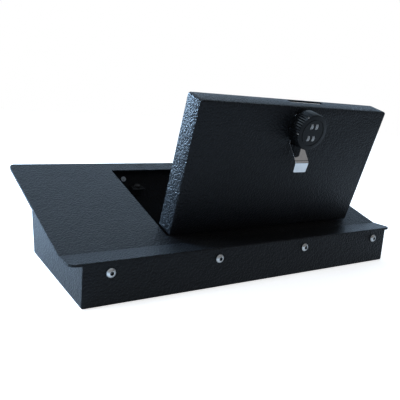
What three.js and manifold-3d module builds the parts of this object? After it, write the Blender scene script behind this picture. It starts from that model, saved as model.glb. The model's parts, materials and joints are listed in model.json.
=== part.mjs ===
// Under-seat vehicle safe: a sheet-steel tub under a pitched top plate, with a pan-shaped lid
// that hinges along the front of the opening and is held by a four-wheel combination knob.
// Millimetres. +X runs right along the front wall, +Y to the back, +Z up.
// The origin is the centre of the tub's bottom face. The lid stands open at rest.

import * as THREE from 'three';
import { mergeVertices } from 'three/addons/utils/BufferGeometryUtils.js';
import Module from 'manifold-3d';

const wasm = await Module();
wasm.setup();

// Sheet thicknesses and the clearances between pieces
const seatGap = 0.3;
const tubSheet = 2;
const plateSheet = 2.5;
const lidSheet = 2;
const pullSheet = 1.5;

// How far a cutting shape runs past the face that it opens, and past a whole wall
const cutPast = 1;
const cutMargin = 30;

// Tub
const tubWidth = 420;
const bottomDepth = 175;
const sideTaper = 9.4;
const backLean = THREE.MathUtils.degToRad(16.8);
const tubBendRadius = 3;
const anchorHoleRadius = 4.5;
const anchorInsetX = 60;
const anchorInsetY = 37.5;

// Top plate
const stripHeight = 44;
const stripDepth = 28.7;
const platePitch = THREE.MathUtils.degToRad(17.4);
const backOverhang = 36;
const sideOverhang = 12;
const plateBendRadius = 2.2;
const plateCornerRadius = 10;
const skirtClearance = 1;
const skirtCornerRadius = 2;
const rearFlangeHeight = 22;
const rearFlangeInset = 18;

// Lid: the bays beside it run to the tub's front corners, its free edge closes against the back wall
const lidLeftBay = 112.5;
const lidRightBay = 31.3;
const lidWallGap = 0.5;
const lidDepth = 24;
const lidCornerRadius = 3;
const lidEdgeBevel = 2.2;
const lidSideGap = 1.6;
const lidOpenAngle = THREE.MathUtils.degToRad(88.4);

// Hinge
const axisSetback = 18.6;
const knuckleRadius = 2.4;
const pinRadius = 1;
const leafSheet = 1;
const leafHeight = 14;
const hingeInset = 12.5;
const knuckleCount = 10;
const hingeFlangeHeight = 16;
const hingeRivetCount = 4;
const hingeRivetRadius = 1.6;
const hingeRivetHeadRadius = 3;
const hingeRivetHeadHeight = 1.2;
const hingeRivetDrop = 9;

// Front screws and back rivets
const screwInsetLeft = 27.7;
const screwInsetRight = 23.3;
const screwCount = 4;
const screwHeight = 32.5;
const screwRadius = 2.5;
const screwHeadRadius = 4.75;
const screwHeadHeight = 2.7;
const screwDomeShares = [[0, 1], [0.5, 0.97], [0.8, 0.72], [1, 0.25], [1, 0]];
const screwLength = 12;
const socketRadius = 1.9;
const socketDepth = 2.2;
const nutAcrossFlats = 8;
const nutHeight = 4;
const rivetRadius = 2;
const rivetHeadRadius = 3.4;
const rivetHeadHeight = 0.8;
const rivetTailRadius = 2.8;
const rivetDrop = 14.8;
const rivetInset = 30;
const rivetShares = [-1, -0.44, 0.44, 1];

// Combination lock
const lockOffset = 0.4;
const lockFromEdge = 22.2;
const barrelRadius = 9.5;
const baseHeight = 2;
const barrelReach = 15.7;
const spindleRadius = 5;
const spindleSquare = 7;
const washerRadius = 14;
const washerHeight = 1;
const lockNutAcrossFlats = 25;
const lockNutHeight = 4.7;
const knobRadius = 20.5;
const knobOverhang = 2;
const knobHeight = 16.7;
const knobRibs = 44;
const knobRibDepth = 0.9;
const knobBevel = 1;
const faceRingRadius = 14.3;
const faceRingWidth = 0.9;
const faceRingDepth = 0.6;
const wheelRadius = 5.8;
const wheelWidth = 3.2;
const wheelProud = 0.5;
const wheelColumnPitch = 7.2;
const wheelRowPitch = 13.6;
const wheelNotchDepth = 0.5;
const wheelFlatShare = 0.84;
const digitCount = 10;
const axleRadius = 1;
const axleReach = 8.5;
const camLength = 32;
const camWidth = 12;
const camHeel = 7;
const camCornerRadius = 4;
const camSheet = 3;
const camDepth = 16.8;
const camScrewRadius = 2;
const camScrewLength = 7;
const camScrewHeadRadius = 4.2;
const camScrewHeadHeight = 2.6;
const rimSlotLeft = 9.7;
const rimSlotRight = 42.7;
const rimSlotHeight = 7.4;
const strikeSlotLeft = 8;
const strikeSlotRight = 19;

// Finger pull under the lock
const pullRootWidth = 27;
const pullWidth = 20;
const pullTipWidth = 18.4;
const pullNeckDrop = 15;
const pullRootGap = 0.9;
const pullSlopeRun = 16.5;
const pullSlope = THREE.MathUtils.degToRad(48.5);
const pullLipLength = 11.3;
const pullTopReach = 14;
const pullCornerRadius = 1.5;

// Rests for the closed lid
const bumperRadius = 4;
const bumperHeight = 2.5;
const restInset = 36;
const restWidth = 18;
const restDepth = 11;
const restLegHeight = 12;

// Values that follow from the sizes above
const frontY = -bottomDepth / 2;
const tubFrontY = frontY + plateSheet + seatGap;
const tubBackY = frontY + bottomDepth;
const bendY = frontY + stripDepth;
const backEdgeY = tubBackY + backOverhang;
const halfWidth = tubWidth / 2;
const plateHalfWidth = halfWidth + sideOverhang;
const plateUndersideDrop = plateSheet / Math.cos(platePitch);
const undersideBendShift = plateSheet * Math.tan(platePitch / 2);
const slopeLength = (backEdgeY - bendY) / Math.cos(platePitch);
const skyHeight = stripHeight + slopeLength;
const rivetHeight = backWallMeets(0, plateUndersideDrop)[1] - rivetDrop;

const reliefRadius = knuckleRadius + seatGap;
const faceStandoff = reliefRadius + lidSheet;
const lidFrontEdge = knuckleRadius - leafSheet - seatGap - lidSheet;
const cornerLift = lidFrontEdge * Math.sin(lidOpenAngle) + (faceStandoff - lidSheet) * Math.cos(lidOpenAngle);
const axisHeight = seatGap - cornerLift;
const lidBottom = faceStandoff - lidDepth;
const lidBackEdge = backWallReach(-tubSheet - lidWallGap, lidBottom);
const lidLeft = lidLeftBay - halfWidth;
const lidRight = halfWidth - lidRightBay;
const openingFront = axisSetback - knuckleRadius - seatGap;
const openingBack = axisSetback + Math.hypot(lidBackEdge, lidBottom) + seatGap;
const hingeLeft = lidLeft + hingeInset;
const hingeRight = lidRight - hingeInset;
const hingeLength = hingeRight - hingeLeft;
const knucklePitch = hingeLength / knuckleCount;

const lockX = (lidLeft + lidRight) / 2 + lockOffset;
const lockA = lidBackEdge - lockFromEdge;
const baseRadius = knobRadius - knobOverhang;
const pullRootDrop = baseRadius + pullRootGap;
const pullBottom = faceStandoff + seatGap;
const baseBottom = pullBottom + pullSheet + seatGap;
const knobBottom = baseBottom + baseHeight + seatGap;
const knobTop = knobBottom + knobHeight;
const barrelBottom = faceStandoff - barrelReach;
const camTop = faceStandoff - camDepth;
const camBottom = camTop - camSheet;
const washerTop = faceStandoff - lidSheet - seatGap;
const nutTop = washerTop - washerHeight - seatGap;
const axleHeight = knobTop - (wheelRadius - wheelProud);
const rowPlaces = [wheelRowPitch / 2, -wheelRowPitch / 2];
const columnPlaces = [-wheelColumnPitch / 2, wheelColumnPitch / 2];

// Frame of the pitched plate: X, up the slope, and out of the plate
const plateFrame = new THREE.Matrix4().makeRotationX(platePitch);
plateFrame.setPosition(0, bendY, stripHeight);
const hingeFrame = plateFrame.clone().multiply(
  new THREE.Matrix4().makeTranslation(0, axisSetback, axisHeight));

// Shape tools

function solid(geometry) {
  const bare = geometry.index ? geometry.toNonIndexed() : geometry.clone();
  bare.deleteAttribute('normal');
  bare.deleteAttribute('uv');
  const merged = mergeVertices(bare, 1e-4);
  return new wasm.Manifold(new wasm.Mesh({
    numProp: 3,
    vertProperties: new Float32Array(merged.attributes.position.array),
    triVerts: new Uint32Array(merged.index.array),
  }));
}

function geometryOf(body) {
  const data = body.getMesh();
  const geometry = new THREE.BufferGeometry();
  geometry.setAttribute('position', new THREE.BufferAttribute(new Float32Array(data.vertProperties), 3));
  geometry.setIndex(new THREE.BufferAttribute(new Uint32Array(data.triVerts), 1));
  const facets = geometry.toNonIndexed();
  facets.computeVertexNormals();
  return facets;
}

// A closed outline whose corners [x, y, radius] are rounded where a radius is given
function outline(corners) {
  const shape = new THREE.Shape();
  corners.forEach(([x, y, radius = 0], i) => {
    const [px, py] = corners[(i + corners.length - 1) % corners.length];
    const [nx, ny] = corners[(i + 1) % corners.length];
    const toPrevious = new THREE.Vector2(px - x, py - y).normalize();
    const toNext = new THREE.Vector2(nx - x, ny - y).normalize();
    const halfAngle = toPrevious.angleTo(toNext) / 2;
    const cut = radius / Math.tan(halfAngle);
    const start = [x + toPrevious.x * cut, y + toPrevious.y * cut];
    const end = [x + toNext.x * cut, y + toNext.y * cut];
    if (i === 0) shape.moveTo(...start);
    else shape.lineTo(...start);
    if (radius > 0) shape.quadraticCurveTo(x, y, ...end);
  });
  shape.closePath();
  return shape;
}

// The cross-section of a bent sheet: one surface follows the points, the other lies thickness to their left
function bentSheet(points, thickness) {
  const path = points.map(([x, y]) => new THREE.Vector2(x, y));
  const left = (a, b) => new THREE.Vector2(a.y - b.y, b.x - a.x).normalize();
  const offset = path.map((point, i) => {
    const before = left(path[Math.max(i - 1, 0)], path[Math.max(i, 1)]);
    const after = left(path[Math.min(i, path.length - 2)], path[Math.min(i + 1, path.length - 1)]);
    const mitre = before.clone().add(after).normalize();
    return point.clone().addScaledVector(mitre, thickness / mitre.dot(before));
  });
  return new THREE.Shape([...path, ...offset.reverse()]);
}

function extrude(shape, depth, steps = 4, bevel = 0) {
  return new THREE.ExtrudeGeometry(shape, {
    depth: depth - 2 * bevel,
    curveSegments: steps,
    bevelEnabled: bevel > 0,
    bevelThickness: bevel,
    bevelSize: bevel,
    bevelOffset: -bevel,
    bevelSegments: 2,
  }).translate(0, 0, bevel);
}

const X = new THREE.Vector3(1, 0, 0);
const Y = new THREE.Vector3(0, 1, 0);
const Z = new THREE.Vector3(0, 0, 1);

// A Y-Z outline drawn out along X
function alongX(shape, left, right, steps) {
  const geometry = extrude(shape, right - left, steps);
  geometry.applyMatrix4(new THREE.Matrix4().makeBasis(Y, Z, X));
  return geometry.translate(left, 0, 0);
}

// An X-Z outline drawn out along Y
function alongY(shape, front, back, steps) {
  const geometry = extrude(shape, back - front, steps);
  geometry.applyMatrix4(new THREE.Matrix4().makeBasis(X, Z, Y.clone().negate()));
  return geometry.translate(0, back, 0);
}

// An X-Y outline drawn up along Z
function alongZ(shape, bottom, top, steps, bevel) {
  return extrude(shape, top - bottom, steps, bevel).translate(0, 0, bottom);
}

function box(x0, x1, y0, y1, z0, z1) {
  const geometry = new THREE.BoxGeometry(x1 - x0, y1 - y0, z1 - z0);
  return geometry.translate((x0 + x1) / 2, (y0 + y1) / 2, (z0 + z1) / 2);
}

function rodX(radius, left, right, y, z, sides = 16) {
  const geometry = new THREE.CylinderGeometry(radius, radius, right - left, sides);
  return geometry.rotateZ(-Math.PI / 2).translate((left + right) / 2, y, z);
}

function rodY(radius, front, back, x, z, sides = 16) {
  const geometry = new THREE.CylinderGeometry(radius, radius, back - front, sides);
  return geometry.translate(x, (front + back) / 2, z);
}

function rodZ(radius, bottom, top, x, y, sides = 32) {
  const geometry = new THREE.CylinderGeometry(radius, radius, top - bottom, sides);
  return geometry.rotateX(Math.PI / 2).translate(x, y, (bottom + top) / 2);
}

// A closed profile [radius, height] turned about the Z axis
function turned(profile, sides = 32) {
  const points = [...profile, profile[0]].map(([radius, height]) => new THREE.Vector2(radius, height));
  return new THREE.LatheGeometry(points, sides).rotateX(Math.PI / 2);
}

function hexPrism(acrossFlats, bottom, top) {
  return rodZ(acrossFlats / 2 / Math.cos(Math.PI / 6), bottom, top, 0, 0, 6);
}

function cut(body, ...geometries) {
  return geometries.reduce((left, geometry) => left.subtract(solid(geometry)), body);
}

function join(body, ...geometries) {
  return geometries.reduce((left, geometry) => left.add(solid(geometry)), body);
}

function piece(name, shape, look, parent) {
  const geometry = shape.isBufferGeometry ? shape : geometryOf(shape);
  const mesh = new THREE.Mesh(geometry, new THREE.MeshStandardMaterial(look));
  mesh.name = name;
  parent.add(mesh);
  return mesh;
}

// Finishes
const powderCoat = { color: 0x24282c, roughness: 0.55, metalness: 0.1 };
const chrome = { color: 0xd6d9dc, roughness: 0.08, metalness: 1 };
const zincSteel = { color: 0xaeb2b5, roughness: 0.35, metalness: 1 };
const blackPlastic = { color: 0x111214, roughness: 0.35, metalness: 0 };
const paleWheel = { color: 0xc8cbcc, roughness: 0.4, metalness: 0 };
const blackRubber = { color: 0x161616, roughness: 0.8, metalness: 0 };

// Groups: the tub and plate stand still, the lid turns on the hinge and the knob turns in the lid
const safe = new THREE.Group();
const hingeGroup = new THREE.Group();
hingeFrame.decompose(hingeGroup.position, hingeGroup.quaternion, hingeGroup.scale);
safe.add(hingeGroup);
const lidGroup = new THREE.Group();
lidGroup.rotation.x = lidOpenAngle;
hingeGroup.add(lidGroup);
const lockGroup = new THREE.Group();
lockGroup.position.set(lockX, lockA, 0);
lidGroup.add(lockGroup);

// Height of a surface that lies drop below the plate's top, measured straight down
function slopeHeight(y, drop) {
  return stripHeight + (y - bendY) * Math.tan(platePitch) - drop;
}

// Y of a plane parallel to the back wall's outer face, offset outward from it, at a height
function backWallY(offset, z) {
  return tubBackY + z * Math.tan(backLean) + offset / Math.cos(backLean);
}

// Where such a plane meets a surface that lies drop below the plate's top
function backWallMeets(offset, drop) {
  const rise = Math.tan(platePitch);
  const lean = Math.tan(backLean);
  const y = (backWallY(offset, 0) + (stripHeight - drop - bendY * rise) * lean) / (1 - rise * lean);
  return [y, slopeHeight(y, drop)];
}

// How far up the slope from the hinge such a plane lies, at a height in the hinge frame
function backWallReach(offset, height) {
  const [y, z] = backWallMeets(offset, -(axisHeight + height) / Math.cos(platePitch));
  return (y - bendY) * Math.cos(platePitch) + (z - stripHeight) * Math.sin(platePitch) - axisSetback;
}

// The slot that the locked cam passes through, in the hinge frame
function strikeSlot() {
  const left = lockX - strikeSlotLeft;
  const right = lockX + strikeSlotRight;
  const reach = lockA + camLength;
  const slot = box(left, right, lidBackEdge, reach + camSheet, camBottom - 2 * seatGap, camTop + 2 * seatGap);
  return slot.applyMatrix4(hingeFrame);
}

function screwPlaces() {
  const pitch = (tubWidth - screwInsetLeft - screwInsetRight) / (screwCount - 1);
  return Array.from({ length: screwCount }, (_, i) => screwInsetLeft - halfWidth + i * pitch);
}

function rivetPlaces() {
  return rivetShares.map((share) => share * (halfWidth - rivetInset));
}

// The tub: side walls draw in towards the back, the back wall leans out, the top follows the plate
function tubSolid(inset, floorHeight, top, cornerRadius) {
  const front = tubFrontY + inset;
  const side = outline([
    [front, floorHeight, cornerRadius],
    [backWallY(-inset, floorHeight), floorHeight, cornerRadius],
    ...top,
  ]);
  const section = outline([
    [-halfWidth + inset, floorHeight, cornerRadius],
    [halfWidth - inset, floorHeight, cornerRadius],
    [halfWidth - inset, skyHeight],
    [-halfWidth + inset, skyHeight],
  ]);
  const flared = alongY(section, frontY, backEdgeY + cutMargin);
  const place = flared.attributes.position;
  for (let i = 0; i < place.count; i++) {
    const drawIn = sideTaper * (place.getY(i) - frontY) / bottomDepth;
    place.setX(i, place.getX(i) - Math.sign(place.getX(i)) * drawIn);
  }
  return solid(alongX(side, -halfWidth - cutPast, halfWidth + cutPast)).intersect(solid(flared));
}

function anchorHoles() {
  const x = halfWidth - anchorInsetX;
  const y = bottomDepth / 2 - anchorInsetY;
  return [[-x, -y], [x, -y], [-x, y], [x, y]].map(
    (place) => rodZ(anchorHoleRadius, -cutPast, tubSheet + cutPast, ...place, 20));
}

function screwHoles(front, back) {
  const bore = screwRadius + seatGap;
  return screwPlaces().map((x) => rodY(bore, front - cutPast, back + cutPast, x, screwHeight));
}

function rivetHoles() {
  return rivetPlaces().map((x) => backRivetRod(rivetRadius + seatGap, -cutMargin / 2, cutMargin / 2, x));
}

function tubShell() {
  const lipDrop = plateUndersideDrop + seatGap;
  const levelTop = stripHeight - plateSheet - seatGap;
  const outerTop = [
    backWallMeets(0, lipDrop),
    [bendY + undersideBendShift, levelTop],
    [tubFrontY, levelTop],
  ];
  const innerTop = [[backWallY(-tubSheet, skyHeight), skyHeight], [tubFrontY + tubSheet, skyHeight]];
  const outer = tubSolid(0, 0, outerTop, tubBendRadius);
  const inner = tubSolid(tubSheet, tubSheet, innerTop, tubBendRadius - tubSheet);
  const frontHoles = screwHoles(tubFrontY, tubFrontY + tubSheet);
  return cut(outer.subtract(inner), ...frontHoles, ...rivetHoles(), ...anchorHoles(), strikeSlot());
}

// A rod square to the back wall, from one distance to another outward from the wall's outer face
function backRivetRod(radius, from, to, x, sides = 16) {
  const rod = new THREE.CylinderGeometry(radius, radius, to - from, sides).translate(0, (from + to) / 2, 0);
  return rod.rotateX(-backLean).translate(x, backWallY(0, rivetHeight), rivetHeight);
}

// The top plate: level strip, pitched main plate, front skirt, hinge flange and rear flange
function topPlate() {
  const backCorner = [backEdgeY, slopeHeight(backEdgeY, 0)];
  const backUnder = [
    backEdgeY + plateSheet * Math.sin(platePitch),
    backCorner[1] - plateSheet * Math.cos(platePitch),
  ];
  const section = outline([
    [frontY, stripHeight, plateBendRadius],
    [frontY, stripHeight - plateSheet],
    [bendY + undersideBendShift, stripHeight - plateSheet],
    backUnder,
    backCorner,
    [bendY, stripHeight],
  ]);
  const plan = outline([
    [-plateHalfWidth, frontY, plateCornerRadius],
    [plateHalfWidth, frontY, plateCornerRadius],
    [plateHalfWidth, backUnder[0], plateCornerRadius],
    [-plateHalfWidth, backUnder[0], plateCornerRadius],
  ]);
  const skirt = outline([
    [-halfWidth, skirtClearance, skirtCornerRadius],
    [halfWidth, skirtClearance, skirtCornerRadius],
    [halfWidth, stripHeight - plateBendRadius],
    [-halfWidth, stripHeight - plateBendRadius],
  ]);
  const sheet = solid(alongX(section, -plateHalfWidth, plateHalfWidth))
    .intersect(solid(alongZ(plan, 0, skyHeight)));
  const opening = box(lidLeft - lidSideGap, lidRight + lidSideGap,
    openingFront, openingBack, -cutMargin, cutMargin);
  const hingeFlange = box(hingeLeft - plateSheet, hingeRight + plateSheet,
    openingFront - plateSheet, openingFront, -hingeFlangeHeight, -plateSheet / 2);
  const flangeHoles = hingeRivetPlaces().map((x) => rodY(hingeRivetRadius + seatGap,
    openingFront - cutMargin / 2, openingFront + cutPast, x, axisHeight - hingeRivetDrop));
  const pitched = (geometry) => geometry.applyMatrix4(plateFrame);
  const frontHoles = screwHoles(frontY, frontY + plateSheet);
  const framed = cut(sheet, pitched(opening));
  const skirtSheet = alongY(skirt, frontY, frontY + plateSheet);
  const flanged = join(framed, skirtSheet, pitched(hingeFlange), rearFlange());
  return cut(flanged, ...flangeHoles.map(pitched), ...frontHoles, ...rivetHoles(), strikeSlot());
}

// A flange under the back overhang, parallel to the back wall and riveted to its outside
function rearFlange() {
  const inner = seatGap;
  const outer = seatGap + tubSheet;
  const [innerTop, outerTop] = [inner, outer].map((offset) => backWallMeets(offset, plateUndersideDrop / 2));
  const bottom = backWallMeets(inner, plateUndersideDrop)[1] - rearFlangeHeight;
  const section = outline([
    [backWallY(inner, bottom), bottom],
    [backWallY(outer, bottom), bottom],
    outerTop,
    innerTop,
  ]);
  return alongX(section, -halfWidth + rearFlangeInset, halfWidth - rearFlangeInset);
}

function hingeRivetPlaces() {
  const pitch = hingeLength / hingeRivetCount;
  return Array.from({ length: hingeRivetCount }, (_, i) => hingeLeft + (i + 0.5) * pitch);
}

// One leaf of the hinge in the hinge frame; side is -1 for the leaf on the plate, 1 for the leaf on the lid
function hingeLeaf(side) {
  const outerFace = side * knuckleRadius;
  const innerFace = side * (knuckleRadius - leafSheet);
  const near = Math.min(outerFace, innerFace);
  const far = Math.max(outerFace, innerFace);
  let leaf = solid(box(hingeLeft, hingeRight, near, far, -leafHeight, -reliefRadius));
  for (let i = side < 0 ? 0 : 1; i < knuckleCount; i += 2) {
    const left = hingeLeft + i * knucklePitch + seatGap / 2;
    const right = left + knucklePitch - seatGap;
    const web = box(left, right, near, far, -reliefRadius - cutPast, 0);
    leaf = join(leaf, web, rodX(knuckleRadius, left, right, 0, 0, 20));
  }
  const bore = rodX(pinRadius + seatGap, hingeLeft - cutPast, hingeRight + cutPast, 0, 0, 12);
  const holes = hingeRivetPlaces().map(
    (x) => rodY(hingeRivetRadius + seatGap, near - cutPast, far + cutPast, x, -hingeRivetDrop));
  return cut(leaf, bore, ...holes);
}

// A rivet through leaf and sheet, flush where the other leaf closes on it; its head points to side
function hingeRivet(side, x) {
  const flush = side < 0 ? leafSheet - knuckleRadius : lidFrontEdge;
  const seat = side < 0 ? openingFront - plateSheet - axisSetback : knuckleRadius;
  const headFace = seat + side * seatGap;
  const headEnd = headFace + side * hingeRivetHeadHeight;
  const headMiddle = (headFace + headEnd) / 2;
  const rod = (radius, from, to) => rodY(radius, Math.min(from, to), Math.max(from, to), x, -hingeRivetDrop);
  return join(solid(rod(hingeRivetHeadRadius, headFace, headEnd)), rod(hingeRivetRadius, flush, headMiddle));
}

// The lid, a folded pan, drawn as it lies when closed
function lidPan() {
  const plan = (inset, radius) => outline([
    [lidLeft + inset, lidFrontEdge + inset, radius],
    [lidRight - inset, lidFrontEdge + inset, radius],
    [lidRight - inset, lidBackEdge - inset, radius],
    [lidLeft + inset, lidBackEdge - inset, radius],
  ]);
  const top = faceStandoff;
  const block = alongZ(plan(0, lidCornerRadius), lidBottom - 2 * lidEdgeBevel, top, 4, lidEdgeBevel);
  const hollow = alongZ(plan(lidSheet, lidCornerRadius - lidSheet), lidBottom - cutMargin, top - lidSheet, 3);
  const trim = box(lidLeft - cutPast, lidRight + cutPast,
    lidFrontEdge - cutPast, lidBackEdge + cutPast, lidBottom - cutMargin, lidBottom);
  const relief = rodX(reliefRadius, hingeLeft - plateSheet, hingeRight + plateSheet, 0, 0, 20);
  const barrelHole = rodZ(barrelRadius + seatGap, 0, top + cutPast, lockX, lockA);
  const slotMiddle = (camTop + camBottom) / 2;
  const rimSlot = box(lockX - rimSlotLeft, lockX + rimSlotRight,
    lidBackEdge - lidSheet - cutPast, lidBackEdge + cutPast,
    slotMiddle - rimSlotHeight / 2, slotMiddle + rimSlotHeight / 2);
  const holes = hingeRivetPlaces().map((x) => rodY(hingeRivetRadius + seatGap,
    lidFrontEdge - cutPast, lidFrontEdge + lidSheet + cutPast, x, -hingeRivetDrop));
  return cut(solid(block), hollow, trim, relief, barrelHole, rimSlot, ...holes);
}

// The chrome finger pull: flat under the lock, sloping out, then a lip parallel to the lid
function pullPlate() {
  const rise = pullSlopeRun * Math.tan(pullSlope);
  const lipStart = -pullRootDrop - pullSlopeRun;
  const tip = lipStart - pullLipLength;
  const section = bentSheet([
    [tip, pullBottom + rise],
    [lipStart, pullBottom + rise],
    [-pullRootDrop, pullBottom],
    [pullTopReach, pullBottom],
  ], pullSheet);
  const plan = outline([
    [-pullTipWidth / 2, tip, pullCornerRadius],
    [pullTipWidth / 2, tip, pullCornerRadius],
    [pullWidth / 2, lipStart],
    [pullWidth / 2, -pullNeckDrop],
    [pullRootWidth / 2, -barrelRadius],
    [pullRootWidth / 2, pullTopReach, pullCornerRadius],
    [-pullRootWidth / 2, pullTopReach, pullCornerRadius],
    [-pullRootWidth / 2, -barrelRadius],
    [-pullWidth / 2, -pullNeckDrop],
    [-pullWidth / 2, lipStart],
  ]);
  const plate = solid(alongX(section, -pullRootWidth / 2 - cutPast, pullRootWidth / 2 + cutPast))
    .intersect(solid(alongZ(plan, 0, skyHeight)));
  return cut(plate, rodZ(barrelRadius + seatGap, 0, baseBottom, 0, 0));
}

// The lock's fixed body: a round base on the lid and a barrel through it
function lockHousing() {
  const baseTop = baseBottom + baseHeight;
  return turned([
    [spindleRadius + seatGap, barrelBottom],
    [barrelRadius, barrelBottom],
    [barrelRadius, baseBottom],
    [baseRadius, baseBottom],
    [baseRadius, baseTop - baseHeight / 3],
    [baseRadius - baseHeight / 3, baseTop],
    [spindleRadius + seatGap, baseTop],
  ], 40);
}

function ring(inner, outer, bottom, top) {
  return turned([[inner, bottom], [outer, bottom], [outer, top], [inner, top]]);
}

// The knob: ribbed grip, ring groove in the face and a pocket for each number wheel
function knob() {
  const grip = new THREE.Shape();
  for (let i = 0; i < knobRibs * 2; i++) {
    const angle = Math.PI * i / knobRibs;
    const radius = i % 2 === 0 ? knobRadius : knobRadius - knobRibDepth;
    const point = [radius * Math.cos(angle), radius * Math.sin(angle)];
    if (i === 0) grip.moveTo(...point);
    else grip.lineTo(...point);
  }
  grip.closePath();
  const grooveBottom = knobTop - faceRingDepth;
  const groove = ring(faceRingRadius, faceRingRadius + faceRingWidth, grooveBottom, knobTop + cutPast);
  const pockets = rowPlaces.flatMap((row) => columnPlaces.map((column) => {
    const half = wheelWidth / 2 + seatGap;
    return rodX(wheelRadius + 1.5 * seatGap, column - half, column + half, row, axleHeight, 32);
  }));
  const axleHoles = rowPlaces.map(
    (row) => rodX(axleRadius + seatGap, -axleReach - seatGap, axleReach + seatGap, row, axleHeight, 12));
  const body = solid(alongZ(grip, knobBottom, knobTop, 1, knobBevel));
  return cut(body, groove, ...pockets, ...axleHoles);
}

// A number wheel: ten flats with a notch between each two
function numberWheel() {
  const rim = new THREE.Shape();
  const step = 2 * Math.PI / digitCount;
  for (let i = 0; i < digitCount; i++) {
    const middle = Math.PI / 2 + i * step;
    const flatEdges = [-1, 1].map((side) => [wheelRadius, middle + side * wheelFlatShare * step / 2]);
    const notch = [wheelRadius - wheelNotchDepth, middle + step / 2];
    [...flatEdges, notch].forEach(([radius, angle], k) => {
      const point = [radius * Math.cos(angle), radius * Math.sin(angle)];
      if (i === 0 && k === 0) rim.moveTo(...point);
      else rim.lineTo(...point);
    });
  }
  rim.closePath();
  const bore = new THREE.Path();
  bore.absarc(0, 0, axleRadius + seatGap, 0, 2 * Math.PI, true);
  rim.holes.push(bore);
  return alongX(rim, -wheelWidth / 2, wheelWidth / 2, 6);
}

// The spindle: round through the barrel, square through the cam, tapped for the cam screw
function spindle() {
  const round = rodZ(spindleRadius, camTop + seatGap, knobBottom - seatGap, 0, 0, 24);
  const half = spindleSquare / 2;
  const square = box(-half, half, -half, half, camBottom, camTop + 2 * seatGap);
  const threadTop = camBottom + camScrewLength + seatGap;
  const tapped = rodZ(camScrewRadius + seatGap, camBottom - cutPast, threadTop, 0, 0, 12);
  return cut(join(solid(round), square), tapped);
}

// The cam, drawn unlocked, with its tip to the right
function cam() {
  const half = camWidth / 2;
  const bar = outline([
    [-camHeel, -half, camCornerRadius],
    [camLength, -half, camCornerRadius],
    [camLength, half, camCornerRadius],
    [-camHeel, half, camCornerRadius],
  ]);
  const hole = spindleSquare / 2 + seatGap;
  const squareHole = box(-hole, hole, -hole, hole, camBottom - cutPast, camTop + cutPast);
  return cut(solid(alongZ(bar, camBottom, camTop, 3)), squareHole);
}

function camScrew() {
  const headTop = camBottom - seatGap;
  const headBottom = headTop - camScrewHeadHeight;
  const headMiddle = (headTop + headBottom) / 2;
  const shank = rodZ(camScrewRadius, headMiddle, camBottom + camScrewLength, 0, 0, 12);
  const head = rodZ(camScrewHeadRadius, headBottom, headTop, 0, 0, 20);
  const socket = hexPrism(2 * socketRadius, headBottom - cutPast, headMiddle);
  return cut(join(solid(shank), head), socket);
}

// A button-head screw with a hexagon socket; its axis is Z and its head is at the bottom
function buttonScrew() {
  const dome = screwDomeShares.map(
    ([across, up]) => new THREE.Vector2(across * screwHeadRadius, -up * screwHeadHeight));
  const shank = [[screwRadius, 0], [screwRadius, screwLength], [0, screwLength]].map(
    ([radius, height]) => new THREE.Vector2(radius, height));
  const body = solid(new THREE.LatheGeometry([...dome, ...shank], 20).rotateX(Math.PI / 2));
  return cut(body, hexPrism(2 * socketRadius, -screwHeadHeight - cutPast, socketDepth - screwHeadHeight));
}

function hexNut(acrossFlats, bore, bottom, top) {
  const hole = rodZ(bore, bottom - cutPast, top + cutPast, 0, 0, 16);
  return cut(solid(hexPrism(acrossFlats, bottom, top)), hole);
}

// A rivet square to the back wall: head inside the tub, tail outside the rear flange
function backRivet(x) {
  const headTop = -tubSheet - seatGap;
  const tailFoot = tubSheet + 2 * seatGap;
  const half = rivetHeadHeight / 2;
  const shank = backRivetRod(rivetRadius, headTop - half, tailFoot + half, x, 12);
  const head = backRivetRod(rivetHeadRadius, headTop - rivetHeadHeight, headTop, x);
  const tail = backRivetRod(rivetTailRadius, tailFoot, tailFoot + rivetHeadHeight, x);
  return join(solid(shank), head, tail);
}

// A rest for the closed lid: a shelf square to the lid's rim and a leg down the back wall
function restTab(x) {
  const shelfTop = lidBottom - bumperHeight - 2 * seatGap;
  const drop = -(axisHeight + shelfTop) / Math.cos(platePitch);
  const corner = backWallMeets(-tubSheet - seatGap, drop);
  const front = corner[0] - restDepth * Math.cos(platePitch);
  const legEnd = corner[1] - restLegHeight;
  const section = bentSheet([
    [backWallY(-tubSheet - seatGap, legEnd), legEnd],
    corner,
    [front, slopeHeight(front, drop)],
  ], tubSheet);
  return alongX(section, x - restWidth / 2, x + restWidth / 2);
}

function bumper(x) {
  const top = lidBottom - seatGap;
  const middle = backWallReach(-tubSheet - seatGap, top - bumperHeight) - bumperRadius;
  return rodZ(bumperRadius, top - bumperHeight, top, x, middle, 20);
}

// Standing pieces
piece('tub_shell', tubShell(), powderCoat, safe);
piece('top_plate', topPlate(), powderCoat, safe);
screwPlaces().forEach((x, i) => {
  const screw = piece(`front_screw_${i + 1}`, buttonScrew(), zincSteel, safe);
  screw.rotation.x = -Math.PI / 2;
  screw.position.set(x, frontY - seatGap, screwHeight);
  const frontNut = hexNut(nutAcrossFlats, screwRadius + seatGap, 0, nutHeight);
  const nut = piece(`front_nut_${i + 1}`, frontNut, zincSteel, safe);
  nut.rotation.x = -Math.PI / 2;
  nut.position.set(x, tubFrontY + tubSheet + seatGap, screwHeight);
});
rivetPlaces().forEach((x, i) => piece(`back_rivet_${i + 1}`, backRivet(x), zincSteel, safe));
[['left', lidLeft + restInset], ['right', lidRight - restInset]].forEach(([side, x]) => {
  piece(`rest_tab_${side}`, restTab(x), powderCoat, safe);
  piece(`bumper_${side}`, bumper(x), blackRubber, hingeGroup);
});

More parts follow.
